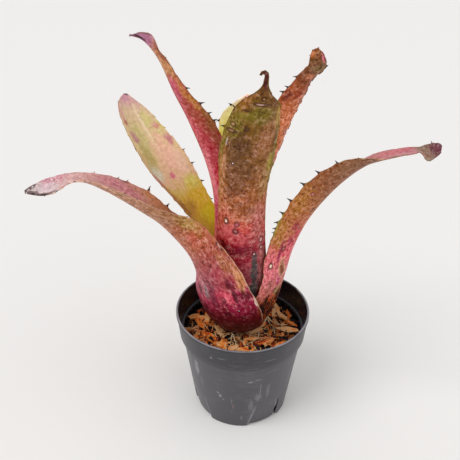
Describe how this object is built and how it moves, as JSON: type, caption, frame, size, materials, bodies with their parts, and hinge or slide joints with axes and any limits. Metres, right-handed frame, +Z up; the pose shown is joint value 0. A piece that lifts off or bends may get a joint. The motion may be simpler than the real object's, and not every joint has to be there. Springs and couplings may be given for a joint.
{
  "type": "potted hohenbergia",
  "caption": "Upright spiny tank bromeliad with broad arching leaves around a swollen base, growing in bark mix in a round tapered nursery pot.",
  "frame": {"origin": "centre of the pot's base, on the surface it stands on", "axes": "+Z up along the pot's axis, +X to the viewer's right, +Y away from the viewer"},
  "size_m": [0.324, 0.164, 0.3564],
  "materials": {
    "pot_plastic": "dark grey injection-moulded plastic, slightly dusty and scuffed outside, glossier and nearly black inside",
    "bark_mix": "loose orange-brown and dark bark chips and coir fibre",
    "stem_and_roots": "dry brown stem with pale thin surface roots",
    "leaf_rose_brown": "waxy leaf skin, dusty rose to salmon brown, dark crimson at the swollen base",
    "leaf_olive_brown": "waxy leaf skin, olive brown above and pink brown below",
    "leaf_pale_green": "waxy leaf skin, pale cream green with pink blotches, yellow green at the base",
    "leaf_olive_red": "waxy leaf skin, olive green at the top, salmon in the middle, crimson at the base",
    "leaf_crimson": "waxy leaf skin, rose red with a brown edge",
    "leaf_orange_brown": "waxy leaf skin, orange brown",
    "leaf_yellow_green": "waxy leaf skin, pale yellow green"
  },
  "bodies": {
    "root": {"nursery_pot": "pot_plastic", "potting_mix": "bark_mix", "stem": "stem_and_roots", "leaf_arching_left": "leaf_rose_brown", "leaf_arching_right": "leaf_olive_brown", "leaf_back_left": "leaf_pale_green", "leaf_front": "leaf_olive_red", "leaf_tall_left": "leaf_crimson", "leaf_tall_right": "leaf_orange_brown", "leaf_back": "leaf_yellow_green"}
  },
  "joints": []
}
